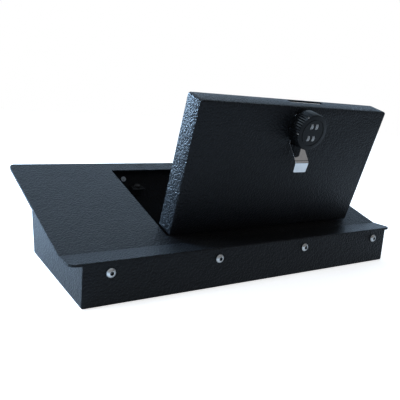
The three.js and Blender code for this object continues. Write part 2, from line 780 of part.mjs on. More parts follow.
// Hinge
piece('hinge_fixed_leaf', hingeLeaf(-1), zincSteel, hingeGroup);
piece('hinge_moving_leaf', hingeLeaf(1), zincSteel, lidGroup);
piece('hinge_pin', rodX(pinRadius, hingeLeft, hingeRight, 0, 0, 12), zincSteel, hingeGroup);
hingeRivetPlaces().forEach((x, i) => {
  piece(`fixed_leaf_rivet_${i + 1}`, hingeRivet(-1, x), zincSteel, hingeGroup);
  piece(`moving_leaf_rivet_${i + 1}`, hingeRivet(1, x), zincSteel, lidGroup);
});

// Lid and the lock's fixed pieces
piece('lid_pan', lidPan(), powderCoat, lidGroup);
piece('pull_plate', pullPlate(), chrome, lockGroup);
piece('lock_housing', lockHousing(), blackPlastic, lockGroup);
const lockBore = barrelRadius + seatGap;
piece('lock_washer', ring(lockBore, washerRadius, washerTop - washerHeight, washerTop), zincSteel, lockGroup);
piece('lock_nut', hexNut(lockNutAcrossFlats, lockBore, nutTop - lockNutHeight, nutTop), zincSteel, lockGroup);

// Pieces that turn with the knob
piece('knob', knob(), blackPlastic, lockGroup);
piece('spindle', spindle(), zincSteel, lockGroup);
piece('cam', cam(), zincSteel, lockGroup);
piece('cam_screw', camScrew(), zincSteel, lockGroup);
rowPlaces.forEach((row, r) => {
  const level = ['upper', 'lower'][r];
  const axle = rodX(axleRadius, -axleReach, axleReach, row, axleHeight, 12);
  piece(`wheel_axle_${level}`, axle, zincSteel, lockGroup);
  columnPlaces.forEach((column, c) => {
    const number = r * columnPlaces.length + c + 1;
    const wheel = piece(`number_wheel_${number}`, numberWheel(), paleWheel, lockGroup);
    wheel.position.set(column, row, axleHeight);
  });
});

export default safe;
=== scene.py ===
import json
import math

import bmesh
import bpy
from bpy.props import FloatProperty, FloatVectorProperty, IntProperty, PointerProperty
from mathutils import Matrix, Vector

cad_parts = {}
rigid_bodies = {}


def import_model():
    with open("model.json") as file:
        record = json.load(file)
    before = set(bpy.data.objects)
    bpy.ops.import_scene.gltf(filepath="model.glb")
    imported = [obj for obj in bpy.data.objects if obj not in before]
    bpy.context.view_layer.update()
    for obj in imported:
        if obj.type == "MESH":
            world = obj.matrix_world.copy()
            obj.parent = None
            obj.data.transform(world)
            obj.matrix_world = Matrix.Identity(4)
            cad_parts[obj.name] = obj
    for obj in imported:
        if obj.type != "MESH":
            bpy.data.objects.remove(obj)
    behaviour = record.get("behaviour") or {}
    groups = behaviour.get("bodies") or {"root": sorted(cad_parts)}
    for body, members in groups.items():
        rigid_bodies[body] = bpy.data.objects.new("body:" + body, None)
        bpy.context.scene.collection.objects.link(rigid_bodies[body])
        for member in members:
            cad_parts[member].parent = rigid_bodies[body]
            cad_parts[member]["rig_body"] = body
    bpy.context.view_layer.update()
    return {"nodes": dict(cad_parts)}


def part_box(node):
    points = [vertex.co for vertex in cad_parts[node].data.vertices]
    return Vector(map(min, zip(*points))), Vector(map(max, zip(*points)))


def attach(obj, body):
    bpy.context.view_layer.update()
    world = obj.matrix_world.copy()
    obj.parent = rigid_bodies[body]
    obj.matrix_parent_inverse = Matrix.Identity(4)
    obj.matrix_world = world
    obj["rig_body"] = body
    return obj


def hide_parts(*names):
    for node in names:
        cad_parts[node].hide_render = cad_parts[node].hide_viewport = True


# Finishes, fine detail, light and camera for the under-seat vehicle safe.
# Everything is in metres: X along the front wall, Y to the back, Z up.
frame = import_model()

bl_info = {
    "name": "Under-Seat Safe Finish",
    "version": (1, 0, 0),
    "blender": (4, 5, 0),
    "location": "3D View > Sidebar > Safe",
    "description": "Dresses the under-seat vehicle safe and lights it for a catalogue picture",
    "category": "Object",
}

MM = 0.001

# Corners this near to each other become one, and faces that meet at less than these angles are joined:
# the second is for the finger pull, whose sides taper
MERGE_DISTANCE = 0.002 * MM
FLAT_ANGLE = math.radians(0.6)
TAPER_ANGLE = math.radians(5)

# Edges sharper than these stay sharp: on the bent plate, on most pieces and on the number wheels
BEND_ANGLE = math.radians(15)
SMOOTH_ANGLE = math.radians(32)
WHEEL_ANGLE = math.radians(40)

# The angles between which an edge is a fold, and the steps of a rounded fold and a rounded edge
FOLD_ANGLES = (math.radians(40), math.radians(60))
FOLD_STEPS = 5
EDGE_STEPS = 2

# Digits round each number wheel: how many, how far over its flats, in how many steps they curve
# and their height as a share of the font's size
DIGIT_COUNT = 10
DIGIT_LIFT = 0.02 * MM
DIGIT_STEPS = 3
CAPITAL_SHARE = 0.72

# How far the open lid's face leans from upright
LID_TILT = math.radians(15.8)

# Sockets of the node that mixes two colours
COLOUR_A, COLOUR_B, COLOUR_RESULT = 6, 7, 2

# Tells the finished materials from the plain ones of the same name that come with the frame
FINISH_SUFFIX = "_finish"

# Most of a noise's values lie between these
NOISE_SPAN = (0.3, 0.7)

# Powder coat: how many pits lie across a grain, how high pits and waves are beside the grains,
# and the noise values at which grains and pits begin and are full
PITS_PER_GRAIN = 2.6
PIT_HEIGHT = 0.3
WAVE_HEIGHT = 0.8
GRAIN_SPAN = (0.34, 0.66)
PIT_SPAN = (0.35, 0.7)

# Values at which wear, dust, the painted shade in hollows, smudges and grime begin, and at which they
# are full
EDGE_SPAN = (0.995, 0.9)
WORN_SPAN = (0.45, 0.62)
UPWARD_SPAN = (0.3, 1.0)
DUST_SPAN = (0.35, 0.75)
HOLLOW_SPAN = (0.9, 0.5)
SMUDGE_SPAN = (0.45, 0.75)
GRIME_SPAN = (0.4, 0.75)

# The share of dust that the barest patches keep, and the most grime on a number wheel
LEAST_DUST = 0.2
MOST_GRIME = 0.6

# How far the lighter speckles show in the powder coat and the plastic
SPECKLE_SHARE = 0.3

# Colours of the finishes, each pair mixed by noise
COAT_SPECK = (0.018, 0.018, 0.018, 1.0)
COAT_WORN = (0.16, 0.16, 0.16, 1.0)
COAT_DUST = (0.3, 0.29, 0.27, 1.0)
ZINC_COLOURS = ((0.78, 0.79, 0.80, 1.0), (0.90, 0.89, 0.86, 1.0))
# The zinc's painted shade: near black, mixed in where a point lies deep in a socket, hollow or joint,
# where shade falls
ZINC_PAINTED_SHADE = (0.012, 0.011, 0.010, 1.0)
CHROME_COLOURS = ((0.92, 0.93, 0.94, 1.0), (0.82, 0.83, 0.84, 1.0))
PLASTIC_COLOURS = ((0.004, 0.0045, 0.005, 1.0), (0.02, 0.02, 0.02, 1.0))
PLASTIC_WORN = (0.06, 0.06, 0.06, 1.0)
WHEEL_COLOURS = ((0.55, 0.54, 0.53, 1.0), (0.28, 0.27, 0.25, 1.0))
INK_COLOURS = ((0.006, 0.006, 0.006, 1.0), (0.03, 0.03, 0.03, 1.0))
RUBBER_COLOURS = ((0.010, 0.010, 0.011, 1.0), (0.03, 0.03, 0.03, 1.0))
RUBBER_DUST = (0.2, 0.19, 0.18, 1.0)

# Roughness of the finishes, from their smoothest spots to their roughest
COAT_ROUGHNESS = (0.28, 0.40)
ZINC_ROUGHNESS = (0.24, 0.42)
CHROME_ROUGHNESS = (0.07, 0.2)
PLASTIC_ROUGHNESS = (0.14, 0.24)
WHEEL_ROUGHNESS = (0.32, 0.5)
INK_ROUGHNESS = (0.35, 0.55)
RUBBER_ROUGHNESS = (0.7, 0.9)

# How much rougher dust makes a finish and how much rougher the zinc is in its recesses, and how
# strongly coat and plastic mirror
DUST_ROUGHENS = 0.4
RECESS_ROUGHENS = 0.3
COAT_SPECULAR = 0.2
PLASTIC_SPECULAR = 0.22

# Camera: where the photo was taken from, which way is right and up in it, and the lens in millimetres
CAMERA_PLACE = Vector((-0.378546, -0.510188, 0.200046))
CAMERA_RIGHT = Vector((0.83202669, -0.5493874, 0.07684441))
CAMERA_UP = Vector((0.04666373, 0.2073478, 0.97715372))
CAMERA_LENS = 47.39

# Surroundings: brightness by height over the horizon, in front of the safe and behind it, then what
# is left of it behind the safe from the far left to the far right. ROOM_TURNS is where, along Y,
# the front gives way to the back.
FRONT_BANDS = (
    (0.0, 0.01), (0.09, 0.01), (0.13, 0.08), (0.28, 0.08),
    (0.34, 0.008), (0.46, 0.008), (0.52, 0.05), (1.0, 0.05))
BACK_BANDS = ((0.0, 1.0), (0.29, 0.95), (0.38, 0.06), (0.48, 0.06), (0.6, 0.22), (1.0, 0.22))
ACROSS_BANDS = ((0.0, 1.0), (0.3, 1.0), (0.45, 0.76), (0.73, 0.76), (0.86, 0.3), (1.0, 0.3))
FRONT_TINT = (1.0, 0.99, 1.0, 1.0)
BACK_TINT = (0.72, 0.98, 1.30, 1.0)
SKY_STRENGTH = 4.0
ROOM_TURNS = (-0.3, 0.4)

# What the floor shows to reflections: its own light in front of the safe and behind it, the share that
# it returns of the light that falls on it, and where, along Y, the front gives way to the back
FLOOR_FRONT = (0.34, 0.41, 0.49, 1.0)
FLOOR_BACK = (0.44, 0.62, 0.86, 1.0)
FLOOR_RETURN = (0.40, 0.40, 0.40, 1.0)
FLOOR_TURNS = (-0.05, 0.25)

# What the camera sees of the floor, beside its colour in the settings
FLOOR_SPECK = 0.88
FLOOR_ROUGHNESS = 0.9

# Lights: where each stands, the point that it looks at, its width and its colour
LIGHTS = {
    "side_light": ((-0.66, 0.78, 0.48), (-0.2, 0.0, 0.05), 0.35, (0.46, 0.70, 1.0)),
    "glint_light": ((-1.0, 0.05, 0.85), (0.0, -0.05, 0.15), 0.16, (0.85, 0.92, 1.0)),
    "top_light": ((0.3, 0.4, 1.5), (0.0, 0.0, 0.0), 1.4, (0.75, 0.9, 1.0)),
}


# Node helpers

class Graph:
    """Adds nodes to one node tree and links their sockets."""

    def __init__(self, tree):
        self.tree = tree

    def add(self, kind, inputs=None, **settings):
        node = self.tree.nodes.new(kind)
        for name, value in settings.items():
            setattr(node, name, value)
        for name, value in (inputs or {}).items():
            self.feed(node.inputs[name], value)
        return node

    def feed(self, socket, value):
        if isinstance(value, bpy.types.NodeSocket):
            self.tree.links.new(value, socket)
        else:
            socket.default_value = value

    def math(self, operation, first, second=0.0, third=0.0, clamp=False):
        values = {0: first, 1: second, 2: third}
        return self.add("ShaderNodeMath", values, operation=operation, use_clamp=clamp).outputs[0]

    def mix(self, factor, first, second, blend="MIX"):
        node = self.add("ShaderNodeMix", {0: factor, COLOUR_A: first, COLOUR_B: second},
                        data_type="RGBA", blend_type=blend)
        return node.outputs[COLOUR_RESULT]

    def remap(self, value, low, high, to_low, to_high):
        node = self.add("ShaderNodeMapRange", {
            "Value": value, "From Min": low, "From Max": high, "To Min": to_low, "To Max": to_high})
        return node.outputs["Result"]

    def spread(self, value, low, high):
        """The value from 0 at low to 1 at high."""
        return self.remap(value, low, high, 0.0, 1.0)

    def noise(self, vector, scale, detail, roughness):
        node = self.add("ShaderNodeTexNoise", {
            "Vector": vector, "Scale": scale, "Detail": detail, "Roughness": roughness})
        return node.outputs["Fac"]

    def bump(self, height, strength, distance):
        node = self.add("ShaderNodeBump", {
            "Strength": strength, "Distance": distance, "Height": height})
        return node.outputs["Normal"]

    def split(self, vector):
        """The vector's parts, by the names X, Y and Z."""
        return self.add("ShaderNodeSeparateXYZ", {"Vector": vector}).outputs

    def place(self):
        return self.add("ShaderNodeTexCoord").outputs["Object"]

    def group(self, tree, **inputs):
        node = self.add("ShaderNodeGroup", node_tree=tree)
        for name, value in inputs.items():
            self.feed(node.inputs[name.replace("_", " ")], value)
        return node.outputs


def new_group(name, inputs, outputs):
    """A shader node group with named inputs {name: (socket type, default)} and outputs {name: type}."""
    tree = bpy.data.node_groups.new(name, "ShaderNodeTree")
    for socket_name, (kind, default) in inputs.items():
        socket = tree.interface.new_socket(name=socket_name, in_out="INPUT", socket_type=kind)
        socket.default_value = default
    for socket_name, kind in outputs.items():
        tree.interface.new_socket(name=socket_name, in_out="OUTPUT", socket_type=kind)
    graph = Graph(tree)
    return graph, graph.add("NodeGroupInput").outputs, graph.add("NodeGroupOutput").inputs


# Shared effects

def powder_grain_group():
    """The pebbled skin of baked powder: packed grains, finer pits in them and slow waves below."""
    graph, given, result = new_group(
        "Powder Grain",
        {"Grain Size": ("NodeSocketFloat", 0.002), "Wave Size": ("NodeSocketFloat", 0.011)},
        {"Height": "NodeSocketFloat", "Speckle": "NodeSocketFloat"})
    place = graph.place()
    density = graph.math("DIVIDE", 1.0, given["Grain Size"])
    grain = graph.spread(graph.noise(place, density, detail=1.0, roughness=0.5), *GRAIN_SPAN)
    pit_density = graph.math("MULTIPLY", density, PITS_PER_GRAIN)
    pits = graph.noise(place, pit_density, detail=2.0, roughness=0.6)
    wave_density = graph.math("DIVIDE", 1.0, given["Wave Size"])
    waves = graph.noise(place, wave_density, detail=2.0, roughness=0.4)
    fine = graph.math("MULTIPLY_ADD", pits, PIT_HEIGHT, grain)
    graph.feed(result["Height"], graph.math("MULTIPLY_ADD", waves, WAVE_HEIGHT, fine))
    graph.feed(result["Speckle"], graph.spread(pits, *PIT_SPAN))
    return graph.tree


def edge_wear_group():
    """Where an edge is rubbed: the rounded normal leaves the true one there, broken up by noise."""
    graph, given, result = new_group(
        "Edge Wear",
        {"Radius": ("NodeSocketFloat", 0.0008), "Amount": ("NodeSocketFloat", 0.5),
         "Patch Scale": ("NodeSocketFloat", 120.0)},
        {"Mask": "NodeSocketFloat"})
    rounded = graph.add("ShaderNodeBevel", {"Radius": given["Radius"]}, samples=4).outputs["Normal"]
    true_normal = graph.add("ShaderNodeNewGeometry").outputs["Normal"]
    facing = graph.add("ShaderNodeVectorMath", {0: rounded, 1: true_normal}, operation="DOT_PRODUCT")
    edge = graph.spread(facing.outputs["Value"], *EDGE_SPAN)
    patches = graph.noise(graph.place(), given["Patch Scale"], detail=4.0, roughness=0.65)
    worn = graph.math("MULTIPLY", edge, graph.spread(patches, *WORN_SPAN))
    graph.feed(result["Mask"], graph.math("MULTIPLY", worn, given["Amount"], clamp=True))
    return graph.tree


def dust_group():
    """Fine dust that settles on faces that look up."""
    graph, given, result = new_group(
        "Settled Dust",
        {"Amount": ("NodeSocketFloat", 0.2), "Patch Scale": ("NodeSocketFloat", 14.0)},
        {"Mask": "NodeSocketFloat"})
    normal = graph.add("ShaderNodeNewGeometry").outputs["Normal"]
    facing_up = graph.spread(graph.split(normal)["Z"], *UPWARD_SPAN)
    patches = graph.noise(graph.place(), given["Patch Scale"], detail=5.0, roughness=0.6)
    settled = graph.math("MULTIPLY", facing_up, graph.remap(patches, *DUST_SPAN, LEAST_DUST, 1.0))
    graph.feed(result["Mask"], graph.math("MULTIPLY", settled, given["Amount"], clamp=True))
    return graph.tree


def recess_group():
    """How deep in a hollow or a joint a point lies, from 0 in the open to 1."""
    graph, given, result = new_group(
        "Recess",
        {"Reach": ("NodeSocketFloat", 0.003), "Amount": ("NodeSocketFloat", 1.0)},
        {"Mask": "NodeSocketFloat"})
    openness = graph.add("ShaderNodeAmbientOcclusion", {"Distance": given["Reach"]}, samples=6)
    hollow = graph.spread(openness.outputs["AO"], *HOLLOW_SPAN)
    graph.feed(result["Mask"], graph.math("MULTIPLY", hollow, given["Amount"], clamp=True))
    return graph.tree


def brushed_group():
    """Long fine lines left by rolling or polishing, along X."""
    graph, given, result = new_group(
        "Drawn Lines",
        {"Line Scale": ("NodeSocketFloat", 2500.0), "Stretch": ("NodeSocketFloat", 0.03)},
        {"Lines": "NodeSocketFloat"})
    parts = graph.split(graph.place())
    along = graph.math("MULTIPLY", parts["X"], given["Stretch"])
    drawn = graph.add("ShaderNodeCombineXYZ", {"X": along, "Y": parts["Y"], "Z": parts["Z"]})
    lines = graph.noise(drawn.outputs["Vector"], given["Line Scale"], detail=3.0, roughness=0.6)
    graph.feed(result["Lines"], lines)
    return graph.tree


def shared_effects():
    """The node groups, made once and kept by name."""
    makers = {
        "Powder Grain": powder_grain_group,
        "Edge Wear": edge_wear_group,
        "Settled Dust": dust_group,
        "Recess": recess_group,
        "Drawn Lines": brushed_group,
    }
    return {name: bpy.data.node_groups.get(name) or make() for name, make in makers.items()}


def new_material(name):
    """An empty node material: its graph and its surface shader, joined to the output."""
    material = bpy.data.materials.new(name + FINISH_SUFFIX)
    material.use_nodes = True
    material.node_tree.nodes.clear()
    graph = Graph(material.node_tree)
    surface = graph.add("ShaderNodeBsdfPrincipled")
    graph.add("ShaderNodeOutputMaterial", {"Surface": surface.outputs["BSDF"]})
    return material, graph, surface


def grey(level):
    return (level, level, level, 1.0)


# Materials, each made from the finish settings

def powder_coat(finish):
    material, graph, surface = new_material("powder_coat")
    effects = shared_effects()
    grain = graph.group(effects["Powder Grain"], Grain_Size=finish.grain_size)
    wear = graph.group(effects["Edge Wear"], Radius=0.6 * MM, Amount=finish.wear)["Mask"]
    dust = graph.group(effects["Settled Dust"], Amount=finish.dust)["Mask"]
    base = (*finish.coat_colour, 1.0)
    speckled = graph.mix(graph.math("MULTIPLY", grain["Speckle"], SPECKLE_SHARE), base, COAT_SPECK)
    worn = graph.mix(wear, speckled, COAT_WORN)
    graph.feed(surface.inputs["Base Color"], graph.mix(dust, worn, COAT_DUST))
    rough = graph.remap(grain["Speckle"], 0.0, 1.0, *COAT_ROUGHNESS)
    graph.feed(surface.inputs["Roughness"], graph.math("MULTIPLY_ADD", dust, DUST_ROUGHENS, rough))
    surface.inputs["Specular IOR Level"].default_value = COAT_SPECULAR
    relief = graph.bump(grain["Height"], strength=1.0, distance=finish.grain_height)
    graph.feed(surface.inputs["Normal"], relief)
    return material


def zinc_steel(finish):
    material, graph, surface = new_material("zinc_steel")
    effects = shared_effects()
    lines = graph.group(effects["Drawn Lines"])["Lines"]
    clouds = graph.noise(graph.place(), scale=300.0, detail=4.0, roughness=0.6)
    # Painted shade: the zinc is darkened to near black in its sockets, hollows and joints by how shut
    # in each point is, and is made rougher there
    grime_and_painted_shade = graph.group(effects["Recess"], Reach=3 * MM)["Mask"]
    tint = graph.mix(clouds, *ZINC_COLOURS)
    graph.feed(surface.inputs["Base Color"], graph.mix(grime_and_painted_shade, tint, ZINC_PAINTED_SHADE))
    rough = graph.remap(clouds, *NOISE_SPAN, *ZINC_ROUGHNESS)
    graph.feed(surface.inputs["Roughness"], graph.math("MULTIPLY_ADD", grime_and_painted_shade, RECESS_ROUGHENS, rough))
    surface.inputs["Metallic"].default_value = 1.0
    graph.feed(surface.inputs["Normal"], graph.bump(lines, strength=0.25, distance=0.02 * MM))
    return material


def chrome(finish):
    material, graph, surface = new_material("chrome")
    patches = graph.noise(graph.place(), scale=140.0, detail=5.0, roughness=0.62)
    smudge = graph.spread(patches, *SMUDGE_SPAN)
    lines = graph.group(shared_effects()["Drawn Lines"], Line_Scale=5000.0)["Lines"]
    graph.feed(surface.inputs["Base Color"], graph.mix(smudge, *CHROME_COLOURS))
    graph.feed(surface.inputs["Roughness"], graph.remap(smudge, 0.0, 1.0, *CHROME_ROUGHNESS))
    surface.inputs["Metallic"].default_value = 1.0
    graph.feed(surface.inputs["Normal"], graph.bump(lines, strength=0.06, distance=0.01 * MM))
    return material


def black_plastic(finish):
    material, graph, surface = new_material("black_plastic")
    texture = graph.noise(graph.place(), scale=2200.0, detail=3.0, roughness=0.6)
    wear = graph.group(shared_effects()["Edge Wear"], Radius=0.4 * MM, Amount=finish.wear)["Mask"]
    base = graph.mix(graph.math("MULTIPLY", texture, SPECKLE_SHARE), *PLASTIC_COLOURS)
    graph.feed(surface.inputs["Base Color"], graph.mix(wear, base, PLASTIC_WORN))
    graph.feed(surface.inputs["Roughness"], graph.remap(texture, *NOISE_SPAN, *PLASTIC_ROUGHNESS))
    surface.inputs["Specular IOR Level"].default_value = PLASTIC_SPECULAR
    graph.feed(surface.inputs["Normal"], graph.bump(texture, strength=0.2, distance=0.03 * MM))
    return material


def pale_wheel(finish):
    material, graph, surface = new_material("pale_wheel")
    patches = graph.noise(graph.place(), scale=700.0, detail=4.0, roughness=0.6)
    # Grime in random patches, darker and rougher
    grime_and_painted_shade = graph.remap(patches, *GRIME_SPAN, 0.0, MOST_GRIME)
    graph.feed(surface.inputs["Base Color"], graph.mix(grime_and_painted_shade, *WHEEL_COLOURS))
    graph.feed(surface.inputs["Roughness"], graph.remap(grime_and_painted_shade, 0.0, MOST_GRIME, *WHEEL_ROUGHNESS))
    return material


def digit_ink(finish):
    material, graph, surface = new_material("digit_ink")
    spots = graph.noise(graph.place(), scale=3000.0, detail=3.0, roughness=0.6)
    graph.feed(surface.inputs["Base Color"], graph.mix(spots, *INK_COLOURS))
    graph.feed(surface.inputs["Roughness"], graph.remap(spots, *NOISE_SPAN, *INK_ROUGHNESS))
    return material


def rubber(finish):
    material, graph, surface = new_material("rubber")
    mottle = graph.noise(graph.place(), scale=900.0, detail=5.0, roughness=0.65)
    dust = graph.group(shared_effects()["Settled Dust"], Amount=finish.dust)["Mask"]
    base = graph.mix(mottle, *RUBBER_COLOURS)
    graph.feed(surface.inputs["Base Color"], graph.mix(dust, base, RUBBER_DUST))
    graph.feed(surface.inputs["Roughness"], graph.remap(mottle, *NOISE_SPAN, *RUBBER_ROUGHNESS))
    graph.feed(surface.inputs["Normal"], graph.bump(mottle, strength=0.3, distance=0.05 * MM))
    return material


def finish_material(name):
    """The named material, made with the scene's settings the first time that it is asked for."""
    makers = {
        "powder_coat": powder_coat,
        "zinc_steel": zinc_steel,
        "chrome": chrome,
        "black_plastic": black_plastic,
        "pale_wheel": pale_wheel,
        "digit_ink": digit_ink,
        "rubber": rubber,
    }
    made = bpy.data.materials.get(name + FINISH_SUFFIX)
    return made or makers[name](bpy.context.scene.safe_finish)


# Mesh helpers

def new_object(name, mesh, material_name, body):
    """A shown piece that rides on a body and takes its finish from a slot."""
    shown = bpy.data.objects.new(name, mesh)
    bpy.context.scene.collection.objects.link(shown)
    mesh.materials.clear()
    mesh.materials.append(finish_material(material_name))
    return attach(shown, body)


def dress(node, slot, bevel, fold=0.0, flat_angle=FLAT_ANGLE, sharp_angle=SMOOTH_ANGLE):
    """A CAD piece with joined faces, softened edges and smooth bends, in its node's place."""
    shape = bmesh.new()
    shape.from_mesh(frame["nodes"][node].data)
    bmesh.ops.remove_doubles(shape, verts=shape.verts, dist=MERGE_DISTANCE)
    bmesh.ops.dissolve_limit(shape, angle_limit=flat_angle, verts=shape.verts, edges=shape.edges)
    if fold > 0:
        round_folds(shape, fold)
    mesh = bpy.data.meshes.new(f"{node}_dressed")
    shape.to_mesh(mesh)
    shape.free()
    if "custom_normal" in mesh.attributes:
        mesh.attributes.remove(mesh.attributes["custom_normal"])
    mesh.shade_smooth()
    mesh.set_sharp_from_angle(angle=sharp_angle)
    shown = new_object(f"{node}_dressed", mesh, slot, frame["nodes"][node]["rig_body"])
    if bevel > 0:
        soften(shown, bevel, sharp_angle)
    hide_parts(node)
    return shown


def round_folds(shape, reach):
    """Rounds the folds of a bent sheet: sharper than a curve's steps and not square like its edges."""
    low, high = FOLD_ANGLES
    joins = [edge for edge in shape.edges if edge.is_manifold]
    folds = [edge for edge in joins if low < edge.calc_face_angle() < high]
    bmesh.ops.bevel(shape, geom=folds, offset=reach, offset_type="OFFSET", segments=FOLD_STEPS,
                    profile=0.5, affect="EDGES", clamp_overlap=True)


def soften(shown, width, sharp_angle):
    """Rounds the sharp edges and keeps the flat faces flat."""
    rounding = shown.modifiers.new("Softened edges", "BEVEL")
    rounding.width = width
    rounding.segments = EDGE_STEPS
    rounding.limit_method = "ANGLE"
    rounding.angle_limit = sharp_angle
    rounding.use_clamp_overlap = True
    rounding.harden_normals = True


def dress_all(nodes, slot, bevel):
    for node in nodes:
        dress(node, slot, bevel)


def nodes_named(*starts):
    """The CAD nodes whose names begin with one of the given words, in order."""
    return sorted(name for name in frame["nodes"] if name.startswith(starts))


def digit_mesh(text, height):
    """A printed digit as a flat mesh, centred, standing along Y."""
    curve = bpy.data.curves.new(f"digit_{text}", "FONT")
    curve.body = text
    curve.align_x = "CENTER"
    curve.align_y = "CENTER"
    curve.size = height / CAPITAL_SHARE
    curve.resolution_u = DIGIT_STEPS
    letter = bpy.data.objects.new(f"digit_{text}", curve)
    mesh = bpy.data.meshes.new_from_object(letter)
    bpy.data.objects.remove(letter)
    bpy.data.curves.remove(curve)
    return mesh


def wheel_digits(node, shown_digit, height):
    """The ten digits round one number wheel, as one mesh laid just over its flats."""
    low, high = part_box(node)
    centre = (low + high) / 2
    lid_up = Vector((0.0, -math.sin(LID_TILT), math.cos(LID_TILT)))
    outward = Vector((0.0, -math.cos(LID_TILT), -math.sin(LID_TILT)))
    radius = max((vertex.co - centre).dot(outward) for vertex in frame["nodes"][node].data.vertices)
    along_x = Vector((1.0, 0.0, 0.0))
    whole = bmesh.new()
    for i in range(DIGIT_COUNT):
        angle = 2 * math.pi * i / DIGIT_COUNT
        out = outward * math.cos(angle) + lid_up * math.sin(angle)
        up = lid_up * math.cos(angle) - outward * math.sin(angle)
        place = centre + out * (radius + DIGIT_LIFT)
        basis = Matrix((along_x, up, out)).transposed().to_4x4()
        mesh = digit_mesh(str((shown_digit + i) % DIGIT_COUNT), height)
        mesh.transform(Matrix.Translation(place) @ basis)
        whole.from_mesh(mesh)
        bpy.data.meshes.remove(mesh)
    printed = bpy.data.meshes.new(f"{node}_digits")
    whole.to_mesh(printed)
    whole.free()
    return printed


# Settings

class SafeFinishSettings(bpy.types.PropertyGroup):
    """Colours and sizes of the finishes."""

    coat_colour: FloatVectorProperty(
        name="Coat colour", description="Colour of the powder coat", subtype="COLOR",
        size=3, min=0.0, max=1.0, default=(0.0060, 0.0065, 0.0080))
    grain_size: FloatProperty(
        name="Grain size", description="Width of one grain of the powder coat",
        default=2.1 * MM, min=0.1 * MM, unit="LENGTH")
    grain_height: FloatProperty(
        name="Grain height", description="Height of the powder coat's grains",
        default=0.42 * MM, min=0.0, unit="LENGTH")
    wear: FloatProperty(
        name="Edge wear", description="How much the edges are rubbed", subtype="FACTOR",
        default=0.25, min=0.0, max=1.0)
    dust: FloatProperty(
        name="Dust", description="How much dust lies on faces that look up", subtype="FACTOR",
        default=0.03, min=0.0, max=1.0)


class SafePieceSettings(bpy.types.PropertyGroup):
    """Sizes of the fine detail."""

    sheet_bevel: FloatProperty(
        name="Sheet edge", description="Rounding of the coated sheets' cut edges",
        default=0.4 * MM, min=0.0, unit="LENGTH")
    small_bevel: FloatProperty(
        name="Fastener edge", description="Rounding of the small pieces' edges",
        default=0.15 * MM, min=0.0, unit="LENGTH")
    knob_bevel: FloatProperty(
        name="Knob edge", description="Rounding of the knob's edges",
        default=0.18 * MM, min=0.0, unit="LENGTH")
    pull_fold: FloatProperty(
        name="Pull folds", description="How far the finger pull's folds are rounded to each side",
        default=3.0 * MM, min=0.0, max=3.2 * MM, unit="LENGTH")
    digit_height: FloatProperty(
        name="Digit height", description="Height of the digits on the number wheels",
        default=2.2 * MM, min=0.5 * MM, max=3 * MM, unit="LENGTH")
    first_digit: IntProperty(
        name="First digit", description="Digit that the first wheel shows", default=4, min=0, max=9)


class SafeStageSettings(bpy.types.PropertyGroup):
    """Light and ground of the picture."""

    side_power: FloatProperty(
        name="Side light", description="Power of the soft light on the left", subtype="POWER",
        default=28.0, min=0.0)
    glint_power: FloatProperty(
        name="Glint light", description="Power of the small light high on the left", subtype="POWER",
        default=2.5, min=0.0)
    top_power: FloatProperty(
        name="Top light", description="Power of the soft light overhead", subtype="POWER",
        default=6.0, min=0.0)
    floor_size: FloatProperty(
        name="Floor size", description="Length of one side of the floor",
        default=6.0, min=1.0, unit="LENGTH")
    floor_glow: FloatProperty(
        name="Floor glow", description="Light of the floor's own, which keeps it white in the picture",
        default=0.75, min=0.0, max=1.0)
    floor_colour: FloatVectorProperty(
        name="Floor colour", description="Colour of the floor", subtype="COLOR",
        size=3, min=0.0, max=1.0, default=(0.9, 0.9, 0.9))


# Operators

class SAFE_OT_tub(bpy.types.Operator):
    """Dress the tub"""

    bl_idname = "safe.tub"
    bl_label = "Tub"

    def execute(self, context):
        dress("tub_shell", "powder_coat", context.scene.safe_pieces.sheet_bevel)
        return {"FINISHED"}


class SAFE_OT_top_plate(bpy.types.Operator):
    """Dress the top plate"""

    bl_idname = "safe.top_plate"
    bl_label = "Top plate"

    def execute(self, context):
        dress("top_plate", "powder_coat", context.scene.safe_pieces.sheet_bevel, sharp_angle=BEND_ANGLE)
        return {"FINISHED"}


class SAFE_OT_fasteners(bpy.types.Operator):
    """Dress the front screws, their nuts and the back rivets"""

    bl_idname = "safe.fasteners"
    bl_label = "Fasteners"

    def execute(self, context):
        nodes = nodes_named("front_screw_", "front_nut_", "back_rivet_")
        dress_all(nodes, "zinc_steel", context.scene.safe_pieces.small_bevel)
        return {"FINISHED"}


class SAFE_OT_rests(bpy.types.Operator):
    """Dress the rests for the closed lid and their bumpers"""

    bl_idname = "safe.rests"
    bl_label = "Lid rests"

    def execute(self, context):
        pieces = context.scene.safe_pieces
        dress_all(nodes_named("rest_tab_"), "powder_coat", pieces.sheet_bevel)
        dress_all(nodes_named("bumper_"), "rubber", pieces.sheet_bevel)
        return {"FINISHED"}


class SAFE_OT_hinge(bpy.types.Operator):
    """Dress the hinge's leaves, pin and rivets"""

    bl_idname = "safe.hinge"
    bl_label = "Hinge"

    def execute(self, context):
        nodes = nodes_named("hinge_", "fixed_leaf_rivet_", "moving_leaf_rivet_")
        dress_all(nodes, "zinc_steel", context.scene.safe_pieces.small_bevel)
        return {"FINISHED"}


class SAFE_OT_lid(bpy.types.Operator):
    """Dress the lid"""

    bl_idname = "safe.lid"
    bl_label = "Lid"

    def execute(self, context):
        dress("lid_pan", "powder_coat", context.scene.safe_pieces.sheet_bevel)
        return {"FINISHED"}


class SAFE_OT_pull(bpy.types.Operator):
    """Dress the chrome finger pull"""

    bl_idname = "safe.pull"
    bl_label = "Finger pull"

    def execute(self, context):
        pieces = context.scene.safe_pieces
        dress("pull_plate", "chrome", pieces.small_bevel, fold=pieces.pull_fold, flat_angle=TAPER_ANGLE)
        return {"FINISHED"}


